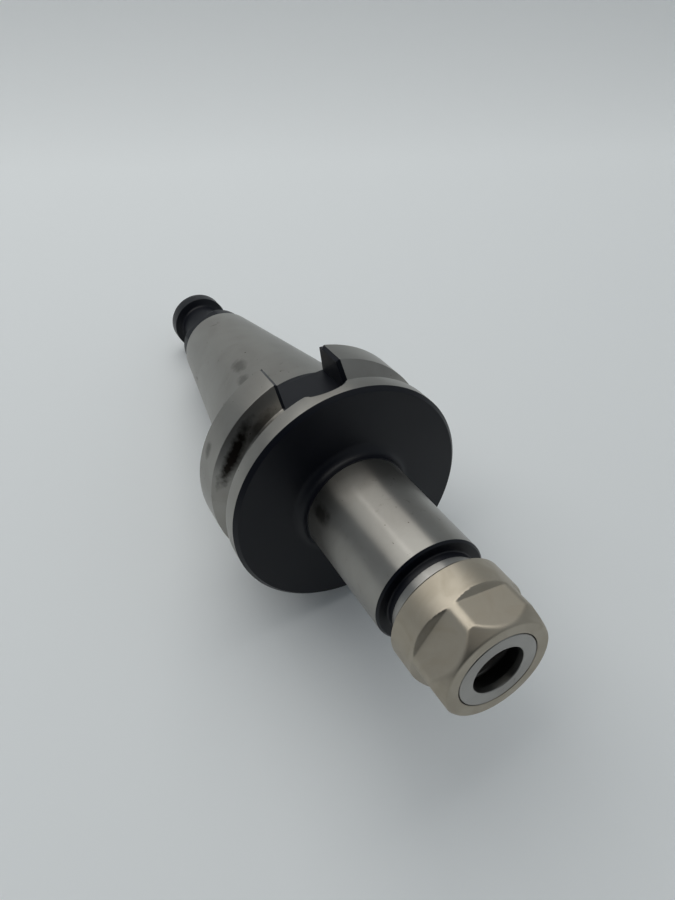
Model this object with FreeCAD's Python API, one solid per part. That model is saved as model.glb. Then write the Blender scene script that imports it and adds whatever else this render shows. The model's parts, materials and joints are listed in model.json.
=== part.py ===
import FreeCAD, Part
import math
import os

V = FreeCAD.Vector

# Steep-taper collet chuck holder, millimetres.
# The pieces are turned about X, with x counted from the taper's gauge line and growing towards the nose.
# Each finished piece is then tipped to the way the holder lies on a flat surface, with +Z up.
# The origin stays on the axis at the gauge line.

# 7:24 taper, size 40
gauge_diameter = 44.45
taper_rate = 7 / 24
taper_length = 65.4
small_end_chamfer = 0.8

# flange with the tool changer's V-groove
flange_diameter = 63.0
flange_rear = 2.0
flange_front = 27.0
rim_chamfer = 1.0
groove_start = 11.6
groove_width = 10.0
groove_depth = 5.0
groove_flank_angle = 30.0
root_fillet = 0.4

# two drive slots, cut with an end mill from the rear
slot_width = 16.1
slot_floor_height = 22.6
slot_cutter_centre = 14.9
slot_chamfer = 1.0

# neck, from the fillet at the flange to the shoulder behind the nut
boss_diameter = 28.0
boss_length = 3.0
boss_fillet = 2.8
neck_diameter = 27.5
neck_end = 62.4
neck_chamfer = 0.5

# nose that carries the nut
nose_relief_diameter = 22.0
nose_relief_length = 2.1
nose_pilot_diameter = 22.6
nose_pilot_length = 5.3
thread_diameter = 22.0
thread_pitch = 1.5
thread_relief_length = 1.4
thread_relief_depth = 1.1
nose_thread_length = 10.2
nose_chamfer = 0.8

# inside of the holder, from the nose to the stud's thread
collet_mouth_diameter = 17.0
collet_half_angle = 8.0
collet_mouth_chamfer = 0.4
shank_bore_diameter = 10.5
shank_bore_depth = 65.0
through_bore_diameter = 8.0
stud_hole_depth = 43.0
stud_pilot_clearance = 1.0
drill_half_angle = 59.0

# pull stud
stud_thread_diameter = 16.0
stud_thread_pitch = 2.0
stud_thread_length = 20.0
stud_pilot_diameter = 17.0
stud_pilot_length = 7.0
stud_flange_diameter = 23.0
stud_flange_length = 6.0
stud_flange_chamfer = 0.6
stud_flats_across = 19.0
stud_flats_turn = 24.0
stud_neck_diameter = 14.0
stud_neck_fillet = 1.0
stud_reach = 26.0
knob_diameter = 19.0
knob_length = 5.3
knob_underside_angle = 15.0
knob_chamfer = 1.0

# clamping nut
nut_sides = 6
nut_length = 17.5
nut_diameter = 28.0
nut_chamfer = 0.5
nut_across_flats = 25.0
nut_collar_length = 8.25
nut_shoulder_lean = 33.0
nut_front_cone_angle = 30.0
nut_front_diameter = 24.3
nut_front_rounding = 0.6
nut_turn = 18.0
nut_mouth_depth = 5.4

# ring in the nut's mouth, which turns on a full row of balls
ring_diameter = 18.5
ring_bore_diameter = 12.1
ring_length = 5.2
ring_bore_land = 1.5
ring_seat_angle = 30.0
ring_edge_break = 0.15
ball_diameter = 2.0
ball_count = 28
race_setback = 3.3

# fits: gap on each side
pilot_gap = 0.05
thread_gap = 0.03
seat_gap = 0.05
ring_gap = 0.2
race_gap = 0.06
stud_gap = 0.02

# 60 degree threads are drawn as the cylinder at their pitch diameter, this share of the pitch below the crest
pitch_line_depth = 0.6495

# how far a cutter runs past the surface it cuts, and how closely a point counts as lying on one
cutter_overrun = 5.0
touching = 0.001

# sizes that follow from the ones above
gauge_radius = gauge_diameter / 2
small_end = -taper_length
small_end_radius = gauge_radius - taper_length * taper_rate / 2
flange_radius = flange_diameter / 2
neck_radius = neck_diameter / 2
slot_half = slot_width / 2
thread_start = neck_end + nose_relief_length + nose_pilot_length
nose_end = thread_start + nose_thread_length
nut_front = nose_end + seat_gap + nut_mouth_depth
nut_rear = nut_front - nut_length
mouth_radius = ring_diameter / 2 + ring_gap
race_x = nut_front - race_setback
race_radius = ring_diameter / 2 + ring_gap / 2
stud_end = small_end - stud_reach


def pitch_radius(diameter, pitch):
    return (diameter - pitch_line_depth * pitch) / 2


def rise(run, angle):
    return run * math.tan(math.radians(angle))


def corner_arc(before, corner, after, rounding):
    # arc of the given radius that touches both sides of a corner
    back = (before - corner).normalize()
    ahead = (after - corner).normalize()
    half = back.getAngle(ahead) / 2
    reach = rounding / math.tan(half)
    middle = (back + ahead).normalize()
    start = corner + back * reach
    end = corner + ahead * reach
    top = corner + middle * (rounding / math.sin(half) - rounding)
    return start, top, end


def turned(outline):
    # closed outline of (x, radius) or (x, radius, corner rounding), swept round the X axis
    points = [V(item[0], 0, item[1]) for item in outline]
    count = len(points)
    starts = []
    ends = []
    edges = []
    for index, item in enumerate(outline):
        corner = points[index]
        if len(item) == 2:
            starts.append(corner)
            ends.append(corner)
            continue
        start, top, end = corner_arc(points[index - 1], corner, points[(index + 1) % count], item[2])
        edges.append(Part.Arc(start, top, end).toShape())
        starts.append(start)
        ends.append(end)
    for index in range(count):
        after = starts[(index + 1) % count]
        edges.append(Part.makeLine(ends[index], after))
    wire = Part.Wire(Part.__sortEdges__(edges))
    return Part.Face(wire).revolve(V(0, 0, 0), V(1, 0, 0), 360)


def extruded(points, direction):
    return Part.Face(Part.makePolygon(points + points[:1])).extrude(direction)


def about_axis(shape, angle):
    copy = shape.copy()
    copy.rotate(V(0, 0, 0), V(1, 0, 0), angle)
    return copy


def make_slot_cutter():
    # runs in from behind the flange and ends in the end mill's half circle
    back = flange_rear - cutter_overrun
    height = flange_radius + cutter_overrun - slot_floor_height
    corner = V(back, -slot_half, slot_floor_height)
    run = Part.makeBox(slot_cutter_centre - back, slot_width, height, corner)
    return run.fuse(Part.makeCylinder(slot_half, height, V(slot_cutter_centre, 0, slot_floor_height)))


def on_slot_wall(point):
    # the walls are two planes that end in a half cylinder
    past_centre = max(point.x - slot_cutter_centre, 0)
    return abs(math.hypot(past_centre, point.y) - slot_half) < touching


def slot_edges(shape):
    # every edge where a slot's wall meets the flange
    found = []
    for edge in shape.Edges:
        points = edge.discretize(5)
        on_wall = all(on_slot_wall(point) for point in points)
        above_floor = all(abs(point.z) > slot_floor_height + touching for point in points[1:-1])
        seam = all(abs(point.x - slot_cutter_centre) < touching for point in points)
        if on_wall and above_floor and not seam:
            found.append(edge)
    return found


def make_holder_body():
    groove_end = groove_start + groove_width
    flank_run = rise(groove_depth, groove_flank_angle)
    groove_root = flange_radius - groove_depth
    boss_radius = boss_diameter / 2
    boss_end = flange_front + boss_length
    relief_radius = nose_relief_diameter / 2
    relief_end = neck_end + nose_relief_length
    pilot_radius = nose_pilot_diameter / 2
    thread_radius = pitch_radius(thread_diameter, thread_pitch)
    thread_root = thread_diameter / 2 - thread_relief_depth
    thread_relief_end = thread_start + thread_relief_length
    mouth = collet_mouth_diameter / 2
    shank_radius = shank_bore_diameter / 2
    cone_length = (mouth - shank_radius) / math.tan(math.radians(collet_half_angle))
    shank_end = nose_end - shank_bore_depth
    through_radius = through_bore_diameter / 2
    hole_radius = pitch_radius(stud_thread_diameter, stud_thread_pitch) + stud_gap
    hole_end = small_end + stud_hole_depth
    drill_tip = (hole_radius - through_radius) / math.tan(math.radians(drill_half_angle))
    shank_tip = (shank_radius - through_radius) / math.tan(math.radians(drill_half_angle))
    stud_pilot = stud_pilot_diameter / 2 + stud_gap
    pilot_hole_end = small_end + stud_pilot_length + stud_pilot_clearance
    outside = [
        (small_end, small_end_radius - small_end_chamfer),
        (small_end + small_end_chamfer, small_end_radius + small_end_chamfer * taper_rate / 2),
        (0, gauge_radius),
        (flange_rear, gauge_radius, root_fillet),
        (flange_rear, flange_radius - rim_chamfer),
        (flange_rear + rim_chamfer, flange_radius),
        (groove_start, flange_radius),
        (groove_start + flank_run, groove_root, root_fillet),
        (groove_end - flank_run, groove_root, root_fillet),
        (groove_end, flange_radius),
        (flange_front - rim_chamfer, flange_radius),
        (flange_front, flange_radius - rim_chamfer),
        (flange_front, boss_radius, boss_fillet),
        (boss_end, boss_radius),
        (boss_end, neck_radius),
        (neck_end - neck_chamfer, neck_radius),
        (neck_end, neck_radius - neck_chamfer),
        (neck_end, relief_radius, root_fillet),
        (relief_end, relief_radius),
        (relief_end, pilot_radius),
        (thread_start, pilot_radius),
        (thread_start, thread_root),
        (thread_relief_end, thread_root),
        (thread_relief_end + thread_relief_depth, thread_radius),
        (nose_end - nose_chamfer, thread_radius),
        (nose_end, thread_radius - nose_chamfer),
    ]
    inside = [
        (nose_end, mouth + collet_mouth_chamfer),
        (nose_end - collet_mouth_chamfer, mouth),
        (nose_end - collet_mouth_chamfer - cone_length, shank_radius),
        (shank_end, shank_radius),
        (shank_end - shank_tip, through_radius),
        (hole_end + drill_tip, through_radius),
        (hole_end, hole_radius),
        (pilot_hole_end, hole_radius),
        (pilot_hole_end, stud_pilot),
        (small_end, stud_pilot),
    ]
    slot = make_slot_cutter()
    slotted = turned(outside + inside).cut([slot, about_axis(slot, 180)])
    return slotted.makeChamfer(slot_chamfer, slot_edges(slotted))


def make_pull_stud():
    thread_radius = pitch_radius(stud_thread_diameter, stud_thread_pitch)
    pilot_radius = stud_pilot_diameter / 2
    flange_edge = stud_flange_diameter / 2
    flange_back = small_end - stud_flange_length
    neck = stud_neck_diameter / 2
    knob = knob_diameter / 2
    knob_start = stud_end + knob_length
    shank_end = small_end + stud_pilot_length + stud_thread_length
    thread_lead = thread_radius - stud_thread_pitch / 2
    outline = [
        (stud_end, 0),
        (stud_end, knob - knob_chamfer),
        (stud_end + knob_chamfer, knob),
        (knob_start, knob),
        (knob_start + rise(knob - neck, knob_underside_angle), neck, stud_neck_fillet),
        (flange_back, neck, stud_neck_fillet),
        (flange_back, flange_edge - stud_flange_chamfer),
        (flange_back + stud_flange_chamfer, flange_edge),
        (small_end, flange_edge),
        (small_end, pilot_radius),
        (small_end + stud_pilot_length, pilot_radius),
        (small_end + stud_pilot_length, thread_lead),
        (small_end + stud_pilot_length + stud_thread_pitch, thread_radius),
        (shank_end - stud_thread_pitch, thread_radius),
        (shank_end, thread_lead),
        (shank_end, 0),
    ]
    stud = turned(outline)
    wide = stud_flange_diameter
    half = stud_flats_across / 2
    side = Part.makeBox(stud_flange_length, 2 * wide, wide, V(flange_back, -wide, half))
    flats = [about_axis(side, stud_flats_turn), about_axis(side, stud_flats_turn + 180)]
    return stud.cut(flats)


def make_race():
    # the groove that a row of balls runs in, half in the nut and half in the ring
    return Part.makeTorus(race_radius, ball_diameter / 2 + race_gap, V(race_x, 0, 0), V(1, 0, 0))


def make_nut():
    edge = nut_diameter / 2
    front = nut_front_diameter / 2
    cone_length = (edge - front) / math.tan(math.radians(nut_front_cone_angle))
    thread_radius = pitch_radius(thread_diameter, thread_pitch) + thread_gap
    pilot_radius = nose_pilot_diameter / 2 + pilot_gap
    pilot_end = thread_start + pilot_gap
    outline = [
        (nut_rear, pilot_radius + nut_chamfer),
        (nut_rear, edge - nut_chamfer),
        (nut_rear + nut_chamfer, edge),
        (nut_front - cone_length, edge),
        (nut_front, front, nut_front_rounding),
        (nut_front, mouth_radius + ring_edge_break),
        (nut_front - ring_edge_break, mouth_radius),
        (nut_front - nut_mouth_depth, mouth_radius),
        (nut_front - nut_mouth_depth, thread_radius),
        (pilot_end, thread_radius),
        (pilot_end, pilot_radius),
        (nut_rear + nut_chamfer, pilot_radius),
    ]
    blank = turned(outline).cut(make_race())
    flat = nut_across_flats / 2
    shoulder = nut_rear + nut_collar_length
    above = edge + cutter_overrun
    ahead = nut_front + cutter_overrun
    section = [
        V(shoulder, -edge, flat),
        V(shoulder - rise(above - flat, nut_shoulder_lean), -edge, above),
        V(ahead, -edge, above),
        V(ahead, -edge, flat),
    ]
    cutter = extruded(section, V(0, 2 * edge, 0))
    step = 360 / nut_sides
    return blank.cut([about_axis(cutter, nut_turn + step * (side + 0.5)) for side in range(nut_sides)])


def make_ring():
    edge = ring_diameter / 2
    bore = ring_bore_diameter / 2
    back = nut_front - ring_length
    seat_start = nut_front - ring_bore_land
    seat_edge = bore + rise(seat_start - back, ring_seat_angle)
    outline = [
        (nut_front, bore + ring_edge_break),
        (nut_front, edge - ring_edge_break),
        (nut_front - ring_edge_break, edge),
        (back, edge),
        (back, seat_edge),
        (seat_start, bore),
        (nut_front - ring_edge_break, bore),
    ]
    return turned(outline).cut(make_race())


def make_balls():
    ball = Part.makeSphere(ball_diameter / 2, V(race_x, 0, race_radius))
    return Part.makeCompound([about_axis(ball, 360 / ball_count * place) for place in range(ball_count)])


def rest_tilt():
    # lying down, the holder stands on the two lower slot corners of the flange and on the stud's knob
    corner_height = math.sqrt(flange_radius ** 2 - (slot_half + slot_chamfer) ** 2)
    corner_x = flange_rear + rim_chamfer
    knob_x = stud_end + knob_chamfer
    return math.degrees(math.atan2(corner_height - knob_diameter / 2, corner_x - knob_x))


nodes = {
    "holder_body": make_holder_body(),
    "pull_stud": make_pull_stud(),
    "clamping_nut": make_nut(),
    "nut_face_ring": make_ring(),
    "nut_bearing_balls": make_balls(),
}

os.makedirs("parts", exist_ok=True)
for name, shape in nodes.items():
    shape.rotate(V(0, 0, 0), V(0, 1, 0), -rest_tilt())
    shape.exportStep(f"parts/{name}.step")
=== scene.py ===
import json
import math

import bmesh
import bpy
from mathutils import Matrix, Vector


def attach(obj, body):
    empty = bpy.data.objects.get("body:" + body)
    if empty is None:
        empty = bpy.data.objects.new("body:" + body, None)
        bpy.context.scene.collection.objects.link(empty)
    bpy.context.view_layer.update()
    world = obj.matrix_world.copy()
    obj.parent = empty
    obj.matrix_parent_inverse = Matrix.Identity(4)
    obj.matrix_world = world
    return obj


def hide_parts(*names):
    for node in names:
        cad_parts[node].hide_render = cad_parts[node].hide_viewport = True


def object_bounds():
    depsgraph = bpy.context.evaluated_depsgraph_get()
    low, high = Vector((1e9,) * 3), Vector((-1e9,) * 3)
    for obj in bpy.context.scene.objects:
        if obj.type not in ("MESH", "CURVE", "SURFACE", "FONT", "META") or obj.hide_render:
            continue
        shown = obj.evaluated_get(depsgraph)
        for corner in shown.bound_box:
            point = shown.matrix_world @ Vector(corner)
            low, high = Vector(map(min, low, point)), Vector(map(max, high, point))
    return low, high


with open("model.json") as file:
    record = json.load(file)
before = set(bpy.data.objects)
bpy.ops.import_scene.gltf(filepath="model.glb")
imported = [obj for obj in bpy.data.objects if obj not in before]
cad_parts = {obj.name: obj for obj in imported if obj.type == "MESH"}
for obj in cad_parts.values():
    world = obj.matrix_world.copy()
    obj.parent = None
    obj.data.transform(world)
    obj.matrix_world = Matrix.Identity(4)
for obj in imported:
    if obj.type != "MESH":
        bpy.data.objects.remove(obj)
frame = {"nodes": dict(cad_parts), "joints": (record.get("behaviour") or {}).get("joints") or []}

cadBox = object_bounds()
mm = 0.001

# the nut travels along the holder's axis, from the stud up to the nose
travelJoint = next(joint for joint in frame["joints"] if joint["name"] == "nut_travel")
holderAxis = Vector(travelJoint["axis"])
restTilt = math.atan2(holderAxis.z, holderAxis.x)
restTurn = Matrix.Rotation(-restTilt, 4, "Y")
sharpFrom = math.radians(28)    # edges that turn more than this stay crisp
noiseSpan = (0.3, 0.7)          # most values of a noise pattern lie in here
print("frame loaded, the holder's axis rises", round(math.degrees(restTilt), 2), "degrees")


def linearColour(hexText):
    parts = [int(hexText[i:i + 2], 16) / 255 for i in (1, 3, 5)]
    return [c / 12.92 if c <= 0.04045 else ((c + 0.055) / 1.055) ** 2.4 for c in parts] + [1.0]


def addNode(tree, kind, settings=None, links=None):
    # settings are the node's own properties or its sockets, links are sockets fed by other nodes
    newNode = tree.nodes.new(kind)
    for name, value in (settings or {}).items():
        if isinstance(name, str) and hasattr(newNode, name):
            setattr(newNode, name, value)
        else:
            newNode.inputs[name].default_value = value
    for name, source in (links or {}).items():
        tree.links.new(source, newNode.inputs[name])
    return newNode


def newMaterial(name):
    material = bpy.data.materials.new(name)
    material.use_nodes = True
    tree = material.node_tree
    tree.nodes.clear()
    return material, tree


def perMetre(sizeInMm):
    return 1000.0 / sizeInMm


def ownPlace(tree):
    # coordinates in metres with X along the holder's axis, which ride with the piece
    atRest = addNode(tree, "ShaderNodeTexCoord").outputs["Object"]
    return addNode(tree, "ShaderNodeMapping", {"Rotation": (0, restTilt, 0)}, {"Vector": atRest}).outputs[0]


def toolRings(tree, place, ringMm, detail):
    # marks of the tool or wheel, which change with X plus the distance from the axis
    parts = addNode(tree, "ShaderNodeSeparateXYZ", links={0: place})
    ySquared = addNode(tree, "ShaderNodeMath", {"operation": "POWER", 1: 2.0}, {0: parts.outputs["Y"]})
    zSquared = addNode(tree, "ShaderNodeMath", {"operation": "POWER", 1: 2.0}, {0: parts.outputs["Z"]})
    both = addNode(tree, "ShaderNodeMath", {"operation": "ADD"},
                   {0: ySquared.outputs[0], 1: zSquared.outputs[0]})
    radius = addNode(tree, "ShaderNodeMath", {"operation": "SQRT"}, {0: both.outputs[0]})
    along = addNode(tree, "ShaderNodeMath", {"operation": "ADD"},
                    {0: parts.outputs["X"], 1: radius.outputs[0]})
    rings = addNode(tree, "ShaderNodeTexNoise",
                    {"noise_dimensions": "1D", "Scale": perMetre(ringMm), "Detail": detail},
                    {"W": along.outputs[0]})
    return rings.outputs[0]


def roundAxis(tree, place):
    # the direction in which a wheel or a tool went round the piece
    parts = addNode(tree, "ShaderNodeSeparateXYZ", links={0: place})
    down = addNode(tree, "ShaderNodeMath", {"operation": "MULTIPLY", 1: -1.0}, {0: parts.outputs["Z"]})
    across = addNode(tree, "ShaderNodeCombineXYZ", links={"Y": down.outputs[0], "Z": parts.outputs["Y"]})
    tilted = addNode(tree, "ShaderNodeMapping", {"vector_type": "VECTOR", "Rotation": (0, -restTilt, 0)},
                     {"Vector": across.outputs[0]})
    direction = addNode(tree, "ShaderNodeVectorTransform",
                        {"vector_type": "VECTOR", "convert_from": "OBJECT", "convert_to": "WORLD"},
                        {"Vector": tilted.outputs[0]})
    unit = addNode(tree, "ShaderNodeVectorMath", {"operation": "NORMALIZE"}, {0: direction.outputs[0]})
    return unit.outputs[0]


def finishMaterial(tree, settings, links, height, depthMm):
    bump = addNode(tree, "ShaderNodeBump", {"Strength": 1.0, "Distance": depthMm * mm}, {"Height": height})
    shader = addNode(tree, "ShaderNodeBsdfPrincipled", settings, {**links, "Normal": bump.outputs["Normal"]})
    addNode(tree, "ShaderNodeOutputMaterial", links={"Surface": shader.outputs[0]})


# Hardened alloy steel, ground round its axis. The wheel leaves fine rings, so the shine is satin and
# runs in soft bands along the piece, with handling stains and specks of rust on top.
# stains: (x, radius, degrees round the axis), (along, around, deep) in mm, how strong
bodyStains = [
    ((13.2, 28.5, 54), (3.4, 24.0, 4.0), 0.97),
    ((14.5, 27.0, 33), (6.0, 12.0, 4.0), 0.6),
    ((17.5, 26.5, 96), (9.0, 16.0, 5.0), 0.7),
    ((15.0, 27.5, 215), (8.0, 26.0, 5.0), 0.7),
    ((24.2, 31.5, 92), (4.0, 7.0, 3.0), 0.6),
    ((6.0, 31.5, 60), (3.0, 5.0, 3.0), 0.5),
    ((-22.0, 19.0, 22), (9.0, 5.0, 4.0), 0.45),
    ((-14.0, 20.2, 27), (6.0, 4.0, 4.0), 0.4),
    ((-38.0, 16.7, 200), (14.0, 8.0, 5.0), 0.4),
    ((34.5, 13.75, 57), (8.0, 5.0, 4.0), 0.7),
]

groundSteelLook = {
    "clean": "#96948f",
    "stain": "#5d5650",
    "rust": "#3a2a20",
    "film": "#1d1713",              # dried oil and black residue
    "ringMm": 0.3,                  # real rings are under 0.1 mm, drawn coarser so that they show
    "ringDepthMm": 0.0006,
    "cloudMm": 11.0,
    "scuffMm": 3.2,
    "speckMm": 1.1,
    "raggedMm": 1.6,
    # where the noise starts to count, where it counts in full, and how strong it is then
    "cloudTone": (0.35, 0.7, 0.22),
    "stainedPlace": (0.5, 0.64, 1.0),
    "scuffTone": (0.6, 0.74, 0.75),
    "speckTone": (0.74, 0.78, 0.9),
    "stainRim": (1.6, 0.9),         # ragged distance where a stain begins, and where it is full
    "roughness": 0.30,
    "ringRoughness": (-0.02, 0.03),
    "scuffRoughness": 0.3,
    "anisotropic": 0.75,
}


def stainMask(tree, place, look, stains):
    # each stain is a soft-edged blot with a ragged rim
    ragged = addNode(tree, "ShaderNodeTexNoise",
                     {"Scale": perMetre(look["raggedMm"]), "Detail": 4.0}, {"Vector": place})
    rimFrom, rimTo = look["stainRim"]
    blots = None
    for (x, reach, degrees), size, strength in stains:
        turn = math.radians(degrees)
        blot = addNode(tree, "ShaderNodeMapping", {
            "vector_type": "TEXTURE",
            "Location": (x * mm, -reach * mm * math.sin(turn), reach * mm * math.cos(turn)),
            "Rotation": (turn, 0, 0),
            "Scale": [side / 2 * mm for side in size],
        }, {"Vector": place})
        away = addNode(tree, "ShaderNodeVectorMath", {"operation": "LENGTH"}, {0: blot.outputs[0]})
        uneven = addNode(tree, "ShaderNodeMath", {"operation": "ADD"},
                         {0: away.outputs["Value"], 1: ragged.outputs[0]})
        mask = addNode(tree, "ShaderNodeMapRange",
                       {"From Min": rimFrom, "From Max": rimTo, "To Min": 0.0, "To Max": strength},
                       {"Value": uneven.outputs[0]}).outputs["Result"]
        if blots:
            larger = addNode(tree, "ShaderNodeMath", {"operation": "MAXIMUM"}, {0: blots, 1: mask})
            mask = larger.outputs[0]
        blots = mask
    return blots


def makeGroundSteel(name, look, stains=()):
    material, tree = newMaterial(name)
    place = ownPlace(tree)
    rings = toolRings(tree, place, look["ringMm"], 3.0)
    clouds = addNode(tree, "ShaderNodeTexNoise",
                     {"Scale": perMetre(look["cloudMm"]), "Detail": 4.0, "Distortion": 0.6},
                     {"Vector": place})
    scuffs = addNode(tree, "ShaderNodeTexNoise", {
        "Scale": perMetre(look["scuffMm"]),
        "Detail": 6.0,
        "Roughness": 0.7,
        "Distortion": 1.2,
    }, {"Vector": place})
    specks = addNode(tree, "ShaderNodeTexNoise",
                     {"Scale": perMetre(look["speckMm"]), "Detail": 2.0}, {"Vector": place})
    noises = {"cloudTone": clouds, "stainedPlace": clouds, "scuffTone": scuffs, "speckTone": specks}
    tones = {}
    for key, noise in noises.items():
        low, high, strength = look[key]
        tones[key] = addNode(tree, "ShaderNodeMapRange",
                             {"From Min": low, "From Max": high, "To Min": 0.0, "To Max": strength},
                             {"Value": noise.outputs[0]}).outputs["Result"]
    scuffMask = addNode(tree, "ShaderNodeMath", {"operation": "MULTIPLY"},
                        {0: tones["stainedPlace"], 1: tones["scuffTone"]}).outputs[0]
    colour = addNode(tree, "ShaderNodeMix",
                     {"data_type": "RGBA", 6: linearColour(look["clean"]), 7: linearColour(look["stain"])},
                     {0: tones["cloudTone"]}).outputs[2]
    layers = [("stain", scuffMask), ("rust", tones["speckTone"])]
    if stains:
        layers.append(("film", stainMask(tree, place, look, stains)))
    for tint, mask in layers:
        colour = addNode(tree, "ShaderNodeMix", {"data_type": "RGBA", 7: linearColour(look[tint])},
                         {0: mask, 6: colour}).outputs[2]
    smoothest, roughest = look["ringRoughness"]
    ringTone = addNode(tree, "ShaderNodeMapRange",
                       {"From Min": noiseSpan[0], "From Max": noiseSpan[1],
                        "To Min": smoothest, "To Max": roughest},
                       {"Value": rings})
    rough = addNode(tree, "ShaderNodeMath", {"operation": "MULTIPLY_ADD", 1: look["scuffRoughness"]},
                    {0: scuffMask, 2: ringTone.outputs["Result"]})
    roughness = addNode(tree, "ShaderNodeMath", {"operation": "ADD", 1: look["roughness"]},
                        {0: rough.outputs[0]})
    # the highlight of rings that run round the piece is drawn out along it
    settings = {"Metallic": 1.0, "Anisotropic": look["anisotropic"], "Anisotropic Rotation": 0.25}
    surface = {"Base Color": colour, "Roughness": roughness.outputs[0], "Tangent": roundAxis(tree, place)}
    finishMaterial(tree, settings, surface, rings, look["ringDepthMm"])
    return material


# Turned steel blacked in a hot oxide bath and oiled. The film is thin, so tool rings show through it,
# and it reads as a blue-black satin that only mirrors bright things at a glancing angle.
blackOxideLook = {
    "film": "#070a14",
    "worn": "#14171f",
    "wornPlace": (0.5, 0.75, 0.5),  # noise where the wear starts, where it is full, and its strength
    "ringMm": 0.6,                  # feed marks, real ones about 0.15 mm
    "ringDepthMm": 0.004,
    "cloudMm": 12.0,
    "roughness": (0.33, 0.45),
    "ior": 1.36,
}

# Nickel-plated steel, bead blasted before plating. The plate is warm against the bare steel, evenly
# satin, and a little darker where it is handled.
nickelLook = {
    "film": "#aaa294",
    "worn": "#9d9484",
    "wornPlace": (0.45, 0.72, 0.55),
    "grainMm": 0.35,                # blasted grain, real one about 0.05 mm
    "grainDepthMm": 0.003,
    "cloudMm": 7.0,
    "roughness": (0.38, 0.49),
}


def coatTones(tree, look, clouds):
    # colour and roughness of a thin coat that is worn in soft patches
    low, high, strength = look["wornPlace"]
    wornMask = addNode(tree, "ShaderNodeMapRange",
                       {"From Min": low, "From Max": high, "To Min": 0.0, "To Max": strength},
                       {"Value": clouds.outputs[0]})
    colour = addNode(tree, "ShaderNodeMix",
                     {"data_type": "RGBA", 6: linearColour(look["film"]), 7: linearColour(look["worn"])},
                     {0: wornMask.outputs["Result"]})
    smoothest, roughest = look["roughness"]
    roughness = addNode(tree, "ShaderNodeMapRange",
                        {"From Min": noiseSpan[0], "From Max": noiseSpan[1],
                        "To Min": smoothest, "To Max": roughest},
                        {"Value": clouds.outputs[0]})
    return {"Base Color": colour.outputs[2], "Roughness": roughness.outputs["Result"]}


def makeBlackOxide(name, look):
    material, tree = newMaterial(name)
    place = ownPlace(tree)
    rings = toolRings(tree, place, look["ringMm"], 2.0)
    clouds = addNode(tree, "ShaderNodeTexNoise",
                     {"Scale": perMetre(look["cloudMm"]), "Detail": 5.0}, {"Vector": place})
    finishMaterial(tree, {"Metallic": 0.0, "IOR": look["ior"]}, coatTones(tree, look, clouds),
                   rings, look["ringDepthMm"])
    return material


def makeSatinNickel(name, look):
    material, tree = newMaterial(name)
    place = ownPlace(tree)
    grain = addNode(tree, "ShaderNodeTexNoise",
                    {"Scale": perMetre(look["grainMm"]), "Detail": 3.0}, {"Vector": place})
    clouds = addNode(tree, "ShaderNodeTexNoise",
                     {"Scale": perMetre(look["cloudMm"]), "Detail": 4.0, "Distortion": 0.8},
                     {"Vector": place})
    finishMaterial(tree, {"Metallic": 1.0}, coatTones(tree, look, clouds),
                   grain.outputs[0], look["grainDepthMm"])
    return material


groundSteel = makeGroundSteel("groundSteel", groundSteelLook, bodyStains)
blackOxide = makeBlackOxide("blackOxide", blackOxideLook)
satinNickel = makeSatinNickel("satinNickel", nickelLook)
ringSteel = makeGroundSteel("faceGroundSteel", {**groundSteelLook, "clean": "#9f9d99", "ringMm": 0.4})
print("materials made")


def bend(before, corner, after, rounding, steps=5):
    # points of an arc that rounds one corner of an outline
    back = (before - corner).normalized()
    ahead = (after - corner).normalized()
    half = back.angle(ahead) / 2
    centre = corner + (back + ahead).normalized() * (rounding / math.sin(half))
    start = corner + back * (rounding / math.tan(half))
    end = corner + ahead * (rounding / math.tan(half))
    first = start - centre
    last = end - centre
    sweep = first.angle(last)
    points = []
    for step in range(steps + 1):
        share = step / steps
        turn = (math.sin((1 - share) * sweep) * first + math.sin(share * sweep) * last) / math.sin(sweep)
        points.append(centre + turn)
    return points


def stations(outline):
    # outline items are (x, radius, finish of the face that follows, corner rounding)
    corners = [Vector((item[0], item[1])) for item in outline]
    count = len(outline)
    found = []
    for index, item in enumerate(outline):
        finish = item[2]
        if len(item) > 3:
            arc = bend(corners[index - 1], corners[index], corners[(index + 1) % count], item[3])
            found += [(point.x, point.y, finish) for point in arc]
        else:
            found.append((item[0], item[1], finish))
    return found


def divided(points, step, low, high):
    # extra stations along the stretches between x = low and x = high
    dense = []
    for index, point in enumerate(points):
        dense.append(point)
        after = points[(index + 1) % len(points)]
        if min(point[0], after[0]) < low or max(point[0], after[0]) > high:
            continue
        pieces = int(math.hypot(after[0] - point[0], after[1] - point[1]) / step)
        for piece in range(1, pieces):
            share = piece / pieces
            dense.append((point[0] + (after[0] - point[0]) * share,
                          point[1] + (after[1] - point[1]) * share, point[2]))
    return dense


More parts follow.
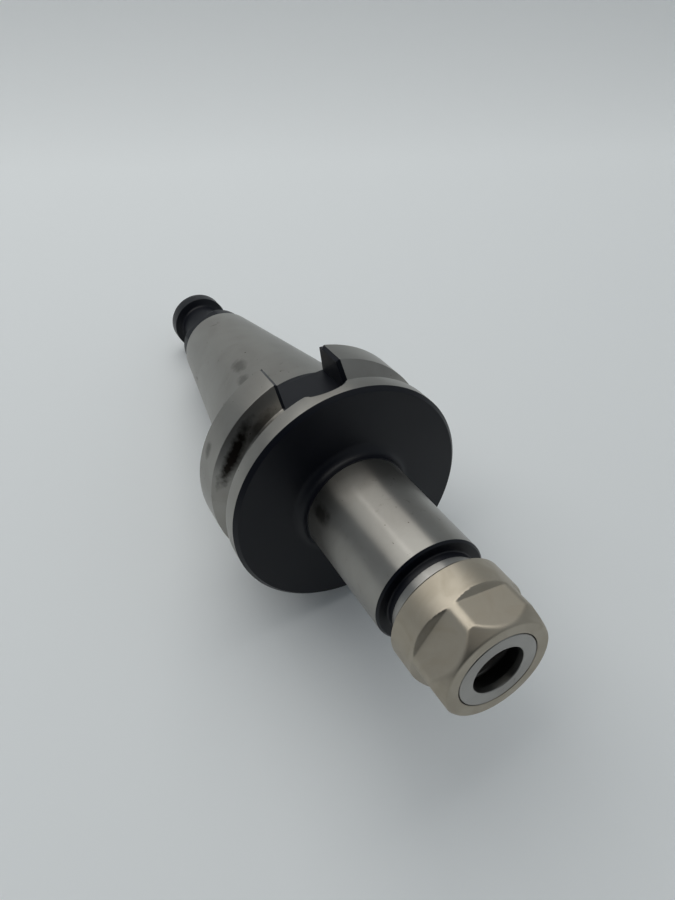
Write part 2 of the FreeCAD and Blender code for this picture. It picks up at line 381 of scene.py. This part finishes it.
def turnedMesh(name, points, finishes, steps, radiusAt=None):
    # closed outline in mm swept round X; radiusAt changes a radius for flats and the like
    mesh = bmesh.new()
    rings = []
    for x, radius, _ in points:
        if radius < 1e-6:           # the outline touches the axis
            rings.append([mesh.verts.new((x * mm, 0, 0))])
            continue
        ring = []
        for step in range(steps):
            angle = 2 * math.pi * step / steps
            reach = radiusAt(x, radius, angle) if radiusAt else radius
            y = -reach * math.sin(angle)
            z = reach * math.cos(angle)
            ring.append(mesh.verts.new((x * mm, y * mm, z * mm)))
        rings.append(ring)
    for index, ring in enumerate(rings):
        after = rings[(index + 1) % len(rings)]
        if len(ring) == 1 and len(after) == 1:
            continue
        for step in range(steps):
            around = (step + 1) % steps
            if len(ring) == 1:
                corners = (ring[0], after[around], after[step])
            elif len(after) == 1:
                corners = (ring[step], ring[around], after[0])
            else:
                corners = (ring[step], ring[around], after[around], after[step])
            face = mesh.faces.new(corners)
            face.material_index = finishes.index(points[index][2])
            face.smooth = True
    bmesh.ops.recalc_face_normals(mesh, faces=mesh.faces)
    return finishMesh(name, mesh, finishes)


def finishMesh(name, mesh, finishes):
    mesh.transform(restTurn)
    data = bpy.data.meshes.new(name)
    mesh.to_mesh(data)
    mesh.free()
    data.set_sharp_from_angle(angle=sharpFrom)
    piece = bpy.data.objects.new(name, data)
    for finish in finishes:
        data.materials.append(finish)
    bpy.context.scene.collection.objects.link(piece)
    return piece


def threadRidge(name, look, finish):
    # one closed helical bar, right-handed: it moves along +X as it turns positively about X
    mesh = bmesh.new()
    pitch = look["pitch"]
    perTurn = 96
    fadeSteps = perTurn / 4         # the ridge runs out over a quarter turn at each end
    count = int(look["turns"] * perTurn)
    halfBase = pitch * 0.42
    halfCrest = pitch * 0.07
    section = [(-halfBase, look["root"]), (-halfCrest, look["crest"]), (halfCrest, look["crest"]),
               (halfBase, look["root"])]
    rows = []
    for step in range(count + 1):
        angle = 2 * math.pi * step / perTurn
        fade = min(1.0, step / fadeSteps, (count - step) / fadeSteps)
        row = []
        for along, radius in section:
            reach = look["root"] + (radius - look["root"]) * fade
            x = look["start"] + pitch * angle / (2 * math.pi) + along
            row.append(mesh.verts.new((x * mm, -reach * mm * math.sin(angle), reach * mm * math.cos(angle))))
        rows.append(row)
    for row, after in zip(rows, rows[1:]):
        for side in range(len(section)):
            other = (side + 1) % len(section)
            mesh.faces.new((row[side], row[other], after[other], after[side])).smooth = True
    mesh.faces.new(rows[0])
    mesh.faces.new(rows[-1])
    bmesh.ops.recalc_face_normals(mesh, faces=mesh.faces)
    return finishMesh(name, mesh, [finish])


def cutAway(piece, cutters):
    for cutter in cutters:
        modifier = piece.modifiers.new("cut", "BOOLEAN")
        modifier.operation = "DIFFERENCE"
        modifier.solver = "EXACT"
        modifier.object = cutter
    bpy.context.view_layer.update()
    done = bpy.data.meshes.new_from_object(piece.evaluated_get(bpy.context.evaluated_depsgraph_get()))
    piece.modifiers.clear()
    piece.data = done
    for cutter in cutters:
        bpy.data.objects.remove(cutter)


body = {
    "gaugeRadius": 22.225,
    "taperRate": 7 / 24 / 2,    # radius lost per mm
    "taperLength": 65.4,
    "smallEndChamfer": 0.8,
    "flangeRadius": 31.5,
    "flangeRear": 2.0,
    "flangeFront": 27.0,
    "rimChamfer": 1.0,
    "grooveStart": 11.6,
    "grooveWidth": 10.0,
    "grooveDepth": 5.0,
    "grooveFlank": 2.887,       # run of a 30 degree flank over the depth
    "bossRadius": 14.0,
    "bossEnd": 30.0,
    "bossFillet": 2.8,
    "neckRadius": 13.75,
    "neckEnd": 62.4,
    "neckChamfer": 0.5,
    "reliefRadius": 11.0,
    "reliefEnd": 64.5,
    "pilotRadius": 11.3,
    "pilotEnd": 69.8,
    "threadRoot": 10.1,
    "noseEnd": 80.0,
    "noseChamfer": 0.8,
    "mouthRadius": 8.5,
    "mouthChamfer": 0.4,
    "shankRadius": 5.25,
    "coneEnd": 56.475,
    "shankEnd": 15.0,
    "shankConeRun": 0.75,
    "throughRadius": 4.0,
    "studHoleRadius": 7.4,
    "studHoleEnd": -22.4,
    "studConeRun": 2.0,
    "studPilotRadius": 8.52,
    "studPilotDepth": 8.0,
    "edge": 0.15,
    "fineEdge": 0.1,
    "softEdge": 0.2,
    "innerFillet": 0.4,
    "steps": 360,
}


def makeHolderBody(b):
    ground, black, plain = groundSteel, blackOxide, ringSteel
    edge, fineEdge, softEdge, fillet = b["edge"], b["fineEdge"], b["softEdge"], b["innerFillet"]
    smallEnd = -b["taperLength"]
    smallRadius = b["gaugeRadius"] - b["taperLength"] * b["taperRate"]
    smallChamfer = b["smallEndChamfer"]
    pilotFloor = smallEnd + b["studPilotDepth"]
    grooveEnd = b["grooveStart"] + b["grooveWidth"]
    grooveRoot = b["flangeRadius"] - b["grooveDepth"]
    outline = [
        (smallEnd, smallRadius - smallChamfer, ground, softEdge),
        (smallEnd + smallChamfer, smallRadius + smallChamfer * b["taperRate"], ground, softEdge),
        (0, b["gaugeRadius"], black, edge),
        (b["flangeRear"], b["gaugeRadius"], ground, fillet),
        (b["flangeRear"], b["flangeRadius"] - b["rimChamfer"], ground, edge),
        (b["flangeRear"] + b["rimChamfer"], b["flangeRadius"], ground, edge),
        (b["grooveStart"], b["flangeRadius"], ground, edge),
        (b["grooveStart"] + b["grooveFlank"], grooveRoot, ground, fillet),
        (grooveEnd - b["grooveFlank"], grooveRoot, ground, fillet),
        (grooveEnd, b["flangeRadius"], ground, edge),
        (b["flangeFront"] - b["rimChamfer"], b["flangeRadius"], black, edge),
        (b["flangeFront"], b["flangeRadius"] - b["rimChamfer"], black, edge),
        (b["flangeFront"], b["bossRadius"], black, b["bossFillet"]),
        (b["bossEnd"], b["bossRadius"], black, fineEdge),
        (b["bossEnd"], b["neckRadius"], ground),
        (b["neckEnd"] - b["neckChamfer"], b["neckRadius"], black, edge),
        (b["neckEnd"], b["neckRadius"] - b["neckChamfer"], black, edge),
        (b["neckEnd"], b["reliefRadius"], black, fillet),
        (b["reliefEnd"], b["reliefRadius"], black),
        (b["reliefEnd"], b["pilotRadius"], plain, fineEdge),
        (b["pilotEnd"], b["pilotRadius"], plain, fineEdge),
        (b["pilotEnd"], b["threadRoot"], plain),
        (b["noseEnd"] - b["noseChamfer"], b["threadRoot"], plain, softEdge),
        (b["noseEnd"], b["threadRoot"] - b["noseChamfer"], plain, softEdge),
        (b["noseEnd"], b["mouthRadius"] + b["mouthChamfer"], plain, fineEdge),
        (b["noseEnd"] - b["mouthChamfer"], b["mouthRadius"], plain, fineEdge),
        (b["coneEnd"], b["shankRadius"], black),
        (b["shankEnd"], b["shankRadius"], black),
        (b["shankEnd"] - b["shankConeRun"], b["throughRadius"], black),
        (b["studHoleEnd"] + b["studConeRun"], b["throughRadius"], black),
        (b["studHoleEnd"], b["studHoleRadius"], black),
        (pilotFloor, b["studHoleRadius"], black),
        (pilotFloor, b["studPilotRadius"], black),
        (smallEnd, b["studPilotRadius"], ground),
    ]
    finishes = [ground, black, plain]
    holderBody = turnedMesh("holder_body_visual", stations(outline), finishes, b["steps"])
    cutAway(holderBody, [slotCutter(b, finishes, side) for side in (1, -1)])
    cutAway(holderBody, [chamferCutter(b, finishes, side) for side in (1, -1)])
    holderBody.data.set_sharp_from_angle(angle=sharpFrom)
    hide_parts("holder_body")
    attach(holderBody, "holder")


driveSlot = {
    "half": 8.05,
    "floor": 22.6,
    "cutterCentre": 14.9,
    "clear": 5.0,           # how far the cutter stands out of the flange
    "chamfer": 1.0,
    "chamferSpare": 0.05,   # the chamfer's bar is this much larger at its corners
    "chamferDeep": 0.6,     # how far its third corner stands off the edge
    "steps": 40,            # facets on the end mill's half circle
    "edgeSteps": 3.0,       # degrees between stations of the chamfer round it
    "floorGap": 0.05,       # the chamfer starts this far above the slot's floor
}


def slotPath(s, back):
    # the slot's plan outline from one rear corner round the end to the other
    half = s["half"]
    plan = [(back, half)]
    for step in range(s["steps"] + 1):
        angle = math.pi * (0.5 - step / s["steps"])
        plan.append((s["cutterCentre"] + half * math.cos(angle), half * math.sin(angle)))
    return plan + [(back, -half)]


def slotCutter(b, finishes, side):
    s = driveSlot
    mesh = bmesh.new()
    loops = []
    plan = slotPath(s, b["flangeRear"] - s["clear"])
    for height in (s["floor"], b["flangeRadius"] + s["clear"]):
        loops.append([mesh.verts.new((x * mm, y * mm * side, height * mm * side)) for x, y in plan])
    for index in range(len(loops[0])):
        after = (index + 1) % len(loops[0])
        mesh.faces.new((loops[0][index], loops[0][after], loops[1][after], loops[1][index])).smooth = True
    for loop in loops:
        mesh.faces.new(loop)
    bmesh.ops.recalc_face_normals(mesh, faces=mesh.faces)
    for face in mesh.faces:
        face.material_index = finishes.index(blackOxide)
    return finishMesh("slotCutter", mesh, finishes)


def slotEdge(b):
    # half of the edge where a slot's wall meets the flange: (place, flange normals there, wall normal)
    s = driveSlot
    grooveEnd = b["grooveStart"] + b["grooveWidth"]
    root = b["flangeRadius"] - b["grooveDepth"]
    corners = [
        (b["flangeRear"], math.hypot(s["floor"] + s["floorGap"], s["half"])),
        (b["flangeRear"], b["flangeRadius"] - b["rimChamfer"]),
        (b["flangeRear"] + b["rimChamfer"], b["flangeRadius"]),
        (b["grooveStart"], b["flangeRadius"]),
        (b["grooveStart"] + b["grooveFlank"], root),
        (grooveEnd - b["grooveFlank"], root),
        (grooveEnd, b["flangeRadius"]),
        (s["cutterCentre"] + s["half"], b["flangeRadius"]),
    ]
    edge = []
    for (x0, r0), (x1, r1) in zip(corners, corners[1:]):
        slope = Vector((r0 - r1, x1 - x0)).normalized()
        reaches = [x0, x1]
        if x1 > s["cutterCentre"]:
            first = math.asin(max(x0 - s["cutterCentre"], 0) / s["half"])
            last = math.asin(min((x1 - s["cutterCentre"]) / s["half"], 1.0))
            count = max(2, int(math.degrees(last - first) / s["edgeSteps"]))
            turns = [first + (last - first) * step / count for step in range(count + 1)]
            reaches = [x0] * (x0 < s["cutterCentre"])
            reaches += [s["cutterCentre"] + s["half"] * math.sin(turn) for turn in turns]
        for x in reaches:
            share = (x - x0) / (x1 - x0) if x1 > x0 else (x is reaches[-1])
            radius = r0 + (r1 - r0) * share
            past = max(x - s["cutterCentre"], 0)
            y = math.sqrt(max(s["half"] ** 2 - past ** 2, 0))
            height = math.sqrt(radius ** 2 - y ** 2)
            place = Vector((x, y, height))
            normal = Vector((slope.x, slope.y * y / radius, slope.y * height / radius))
            wall = Vector((past, y, 0)).normalized()
            if edge and (edge[-1][0] - place).length < 0.001:
                edge[-1][1].append(normal)
            else:
                edge.append((place, [normal], wall))
    return edge


def chamferCutter(b, finishes, side):
    # three-sided bar that follows the slot's edge and takes the corner off at 45 degrees
    spare = driveSlot["chamferSpare"]
    reach = driveSlot["chamfer"] + spare
    deep = driveSlot["chamferDeep"]
    half = slotEdge(b)
    mirror = [(Vector((p.x, -p.y, p.z)), [Vector((n.x, -n.y, n.z)) for n in normals],
               Vector((w.x, -w.y, w.z))) for p, normals, w in reversed(half[:-1])]
    mesh = bmesh.new()
    rows = []
    for place, normals, wall in half + mirror:
        inward = [-(n - wall * n.dot(wall)).normalized() for n in normals]
        across = [(wall - n * n.dot(wall)).normalized() for n in normals]
        middle = sum(inward, Vector()).normalized()
        into = middle / middle.dot(inward[0])
        over = sum(across, Vector()).normalized()
        section = [
            place + into * reach - over * spare,
            place + over * reach - into * spare,
            place - into * deep - over * deep,
        ]
        rows.append([mesh.verts.new((p.x * mm, p.y * mm * side, p.z * mm * side)) for p in section])
    for row, after in zip(rows, rows[1:]):
        for corner in range(len(row)):
            other = (corner + 1) % len(row)
            mesh.faces.new((row[corner], row[other], after[other], after[corner])).smooth = True
    mesh.faces.new(rows[0])
    mesh.faces.new(rows[-1])
    bmesh.ops.recalc_face_normals(mesh, faces=mesh.faces)
    for face in mesh.faces:
        face.material_index = finishes.index(blackOxide)
    return finishMesh("chamferCutter", mesh, finishes)


makeHolderBody(body)

noseThreadLook = {
    "pitch": 1.5,
    "start": 71.6,
    "turns": 5.2,
    "root": 10.05,
    "crest": 11.0,
}
noseThread = threadRidge("nose_thread", noseThreadLook, ringSteel)
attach(noseThread, "holder")
print("holder body made")


stud = {
    "smallEnd": -65.4,
    "end": -91.4,
    "flangeRadius": 11.5,
    "flangeLength": 6.0,
    "flangeChamfer": 0.6,
    "flatsAcross": 19.0,
    "flatsTurn": 24.0,
    "flatsBlend": 0.15,
    "neckRadius": 7.0,
    "neckFillet": 1.0,
    "knobRadius": 9.5,
    "knobLength": 5.3,
    "knobChamfer": 1.0,
    "undersideRun": 0.67,       # 15 degrees over the knob's overhang
    "pilotRadius": 8.5,
    "pilotLength": 7.0,
    "threadRadius": 7.35,
    "threadEnd": -38.4,
    "edge": 0.15,
    "fineEdge": 0.1,
    "steps": 256,
}


def softer(first, second, blend):
    # the smaller of two radii, with the corner between them rounded
    overlap = max(blend - abs(first - second), 0.0) / blend
    return min(first, second) - overlap * overlap * blend / 4


def makePullStud(s):
    black = blackOxide
    flangeBack = s["smallEnd"] - s["flangeLength"]
    flangeChamfer = s["flangeChamfer"]
    knobStart = s["end"] + s["knobLength"]
    pilotEnd = s["smallEnd"] + s["pilotLength"]
    outline = [
        (s["end"], 0.0, black),
        (s["end"], s["knobRadius"] - s["knobChamfer"], black, s["edge"]),
        (s["end"] + s["knobChamfer"], s["knobRadius"], black, s["edge"]),
        (knobStart, s["knobRadius"], black, s["edge"]),
        (knobStart + s["undersideRun"], s["neckRadius"], black, s["neckFillet"]),
        (flangeBack, s["neckRadius"], black, s["neckFillet"]),
        (flangeBack, s["flangeRadius"] - flangeChamfer, black, s["fineEdge"]),
        (flangeBack + flangeChamfer, s["flangeRadius"], black, s["fineEdge"]),
        (s["smallEnd"], s["flangeRadius"], black, s["fineEdge"]),
        (s["smallEnd"], s["pilotRadius"], black),
        (pilotEnd, s["pilotRadius"], black),
        (pilotEnd, s["threadRadius"], black),
        (s["threadEnd"], s["threadRadius"], black),
        (s["threadEnd"], 0.0, black),
    ]
    flatFrom = math.radians(s["flatsTurn"])

    def flats(x, radius, angle):
        if not flangeBack - 0.01 <= x <= s["smallEnd"] + 0.01:
            return radius
        across = abs(math.cos(angle - flatFrom))
        return softer(radius, s["flatsAcross"] / 2 / max(across, 0.05), s["flatsBlend"])

    points = divided(stations(outline), 0.5, flangeBack, s["smallEnd"])
    pullStud = turnedMesh("pull_stud_visual", points, [black], s["steps"], flats)
    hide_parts("pull_stud")
    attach(pullStud, "holder")


makePullStud(stud)
print("pull stud made")


nut = {
    "rear": 67.95,
    "front": 85.45,
    "radius": 14.0,
    "rearChamfer": 0.5,
    "halfAcrossFlats": 12.5,
    "shoulder": 76.2,
    "shoulderLean": 33.0,
    "coneAngle": 30.0,
    "coneRounding": 0.8,
    "frontRadius": 12.15,
    "frontRounding": 0.6,
    "mouthRadius": 9.45,
    "mouthChamfer": 0.15,
    "mouthDepth": 5.4,
    "bossWall": 2.55,       # steel round the mouth that the flats leave alone
    "pilotRadius": 11.35,
    "pilotEnd": 69.85,
    "boreChamfer": 0.5,
    "threadRadius": 11.05,
    "turn": 18.0,
    "shoulderBlend": 0.2,
    "edgeBlend": 0.3,
    "edge": 0.15,
    "fineEdge": 0.1,
    "softEdge": 0.2,
    "mouthEdge": 0.05,
    "steps": 480,
}


def makeClampingNut(n):
    plate, inside = satinNickel, ringSteel
    coneRun = (n["radius"] - n["frontRadius"]) / math.tan(math.radians(n["coneAngle"]))
    outline = [
        (n["rear"], n["pilotRadius"] + n["boreChamfer"], plate, n["fineEdge"]),
        (n["rear"], n["radius"] - n["rearChamfer"], plate, n["edge"]),
        (n["rear"] + n["rearChamfer"], n["radius"], plate, n["softEdge"]),
        (n["front"] - coneRun, n["radius"], plate, n["coneRounding"]),
        (n["front"], n["frontRadius"], plate, n["frontRounding"]),
        (n["front"], n["mouthRadius"] + n["mouthChamfer"], plate, n["mouthEdge"]),
        (n["front"] - n["mouthChamfer"], n["mouthRadius"], inside, n["mouthEdge"]),
        (n["front"] - n["mouthDepth"], n["mouthRadius"], inside),
        (n["front"] - n["mouthDepth"], n["threadRadius"], inside),
        (n["pilotEnd"], n["threadRadius"], inside),
        (n["pilotEnd"], n["pilotRadius"], inside),
        (n["rear"] + n["boreChamfer"], n["pilotRadius"], inside, n["fineEdge"]),
    ]
    lean = math.tan(math.radians(n["shoulderLean"]))

    def hexagon(x, radius, angle):
        # six flats that end in a leaning shoulder, only on the outside of the nut
        if radius < n["mouthRadius"] + n["bossWall"]:
            return radius
        fromFlat = (math.degrees(angle) - n["turn"] - 30) % 60
        fromFlat = min(fromFlat, 60 - fromFlat)
        rise = (n["shoulder"] - x) / lean
        rise = (rise + math.hypot(rise, n["shoulderBlend"])) / 2
        limit = (n["halfAcrossFlats"] + rise) / math.cos(math.radians(fromFlat))
        return softer(radius, limit, n["edgeBlend"])

    points = divided(stations(outline), 0.2, n["rear"] + n["rearChamfer"] - 0.1, n["front"])
    clampingNut = turnedMesh("clamping_nut_visual", points, [plate, inside], n["steps"], hexagon)
    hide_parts("clamping_nut")
    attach(clampingNut, "nut")


nutThreadLook = {
    "pitch": 1.5,
    "start": 70.85,         # half a pitch off the nose's ridge
    "turns": 5.4,
    "root": 11.1,
    "crest": 10.2,
}
makeClampingNut(nut)
nutThread = threadRidge("nut_thread", nutThreadLook, ringSteel)
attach(nutThread, "nut")
print("clamping nut made")


faceRing = {
    "radius": 9.25,
    "bore": 6.05,
    "length": 5.2,
    "land": 1.5,
    "seatRise": 2.136,      # 30 degree seat over the rest of the length
    "edge": 0.15,
    "fineEdge": 0.1,
    "cornerEdge": 0.05,
    "steps": 256,
}


def makeFaceRing(r):
    ground = ringSteel
    front = nut["front"]
    back = front - r["length"]
    outline = [
        (front, r["bore"] + r["edge"], ground, r["cornerEdge"]),
        (front, r["radius"] - r["edge"], ground, r["cornerEdge"]),
        (front - r["edge"], r["radius"], ground, r["cornerEdge"]),
        (back, r["radius"], ground, r["fineEdge"]),
        (back, r["bore"] + r["seatRise"], ground, r["fineEdge"]),
        (front - r["land"], r["bore"], ground, r["fineEdge"]),
        (front - r["edge"], r["bore"], ground, r["cornerEdge"]),
    ]
    ring = turnedMesh("nut_face_ring_visual", stations(outline), [ground], r["steps"])
    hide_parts("nut_face_ring")
    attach(ring, "face_ring")


makeFaceRing(faceRing)
balls = frame["nodes"]["nut_bearing_balls"]
balls.data.materials.clear()
balls.data.materials.append(ringSteel)
print("face ring made")


stage = {
    "away": (-0.5656, 0.2969, 0),   # level direction of the view
    "nearFor": 0.9,         # metres of level floor on the near side of the gauge line
    "flatFor": 0.205,       # and beyond it
    "bendRadius": 0.15,
    "bendSteps": 16,
    "steepest": 62,         # degrees, the paper stays low so that the light passes over it
    "slopeLength": 0.12,
    "halfWidth": 1.3,
    "paper": "#edf1f3",
    "roughness": 0.8,
}


def makeSweep(s):
    # pale paper: a level floor that curves up behind the holder
    floorHeight = cadBox[0].z
    back = Vector(s["away"]).normalized()
    side = Vector((-back.y, back.x, 0))
    profile = [(-s["nearFor"], 0.0)]
    for step in range(s["bendSteps"] + 1):
        turn = math.radians(s["steepest"]) * step / s["bendSteps"]
        profile.append((s["flatFor"] + s["bendRadius"] * math.sin(turn),
                        s["bendRadius"] * (1 - math.cos(turn))))
    reach, height = profile[-1]
    profile.append((reach + s["slopeLength"] * math.cos(turn),
                    height + s["slopeLength"] * math.sin(turn)))
    mesh = bmesh.new()
    rows = []
    for reach, height in profile:
        rows.append([mesh.verts.new(back * reach + side * across + Vector((0, 0, floorHeight + height)))
                     for across in (-s["halfWidth"], s["halfWidth"])])
    for row, after in zip(rows, rows[1:]):
        mesh.faces.new((row[0], row[1], after[1], after[0])).smooth = True
    bmesh.ops.recalc_face_normals(mesh, faces=mesh.faces)
    data = bpy.data.meshes.new("paperSweep")
    mesh.to_mesh(data)
    mesh.free()
    sweep = bpy.data.objects.new("paperSweep", data)
    bpy.context.scene.collection.objects.link(sweep)
    material, tree = newMaterial("sweepPaper")
    shader = addNode(tree, "ShaderNodeBsdfPrincipled",
                     {"Base Color": linearColour(s["paper"]), "Roughness": s["roughness"]})
    addNode(tree, "ShaderNodeOutputMaterial", links={"Surface": shader.outputs[0]})
    data.materials.append(material)


makeSweep(stage)


# rectangular lights that face the holder: degrees round and up, metres away, metres across and up, watts
lights = {
    "backSoftbox": {"azimuth": 186, "elevation": 66, "distance": 1.0, "size": (1.5, 0.9), "power": 6.2,
                    "colour": "#fffdf8"},
    "stripLight": {"azimuth": 191, "elevation": 50, "distance": 1.1, "size": (0.05, 0.3), "power": 0.12,
                   "colour": "#ffffff"},
}


def addLight(name, look):
    azimuth = math.radians(look["azimuth"])
    elevation = math.radians(look["elevation"])
    level = math.cos(elevation)
    away = Vector((level * math.cos(azimuth), level * math.sin(azimuth), math.sin(elevation)))
    light = bpy.data.lights.new(name, "AREA")
    light.shape = "RECTANGLE"
    light.size, light.size_y = look["size"]
    light.energy = look["power"]
    light.color = linearColour(look["colour"])[:3]
    lamp = bpy.data.objects.new(name, light)
    lamp.location = away * look["distance"]
    lamp.rotation_euler = away.to_track_quat("Z", "Y").to_euler()
    bpy.context.scene.collection.objects.link(lamp)


for lightName, lightLook in lights.items():
    addLight(lightName, lightLook)


air = {
    "bright": "#9ba0a4",
    "dark": "#33363a",
    "darkFrom": (0.55, -0.45, 0.6),
    "darkEdge": (0.55, 0.95),       # cosine of the angle from there, where dark begins and is full
}


def makeStudioAir(a):
    # even room light, with a darker side behind the viewer
    world = bpy.data.worlds.new("studioAir")
    bpy.context.scene.world = world
    world.use_nodes = True
    tree = world.node_tree
    tree.nodes.clear()
    place = addNode(tree, "ShaderNodeTexCoord").outputs["Generated"]
    facing = addNode(tree, "ShaderNodeVectorMath",
                     {"operation": "DOT_PRODUCT", 1: Vector(a["darkFrom"]).normalized()}, {0: place})
    share = addNode(tree, "ShaderNodeMapRange", {"From Min": a["darkEdge"][0], "From Max": a["darkEdge"][1]},
                    {"Value": facing.outputs["Value"]})
    colour = addNode(tree, "ShaderNodeMix",
                     {"data_type": "RGBA", 6: linearColour(a["bright"]), 7: linearColour(a["dark"])},
                     {0: share.outputs[0]})
    light = addNode(tree, "ShaderNodeBackground", {"Strength": 1.0}, {"Color": colour.outputs[2]})
    addNode(tree, "ShaderNodeOutputWorld", links={"Surface": light.outputs[0]})


makeStudioAir(air)


view = {
    "place": (0.1162, -0.0518, 0.1515),
    "ahead": (-0.5600, 0.2993, -0.7725),
    "right": (0.4864, 0.8736, -0.0141),
    "lensMm": 28.32,
}


def makeCamera(v):
    ahead = Vector(v["ahead"]).normalized()
    right = Vector(v["right"]).normalized()
    up = right.cross(ahead)
    camera = bpy.data.cameras.new("viewCamera")
    camera.lens = v["lensMm"]
    camera.sensor_width = 36.0
    camera.clip_start = 0.01
    viewer = bpy.data.objects.new("viewCamera", camera)
    turn = Matrix((right, up, -ahead)).transposed().to_4x4()
    viewer.matrix_world = Matrix.Translation(v["place"]) @ turn
    bpy.context.scene.collection.objects.link(viewer)
    bpy.context.scene.camera = viewer


makeCamera(view)
bpy.context.scene.view_settings.view_transform = "Standard"
print("stage, lights and camera made")
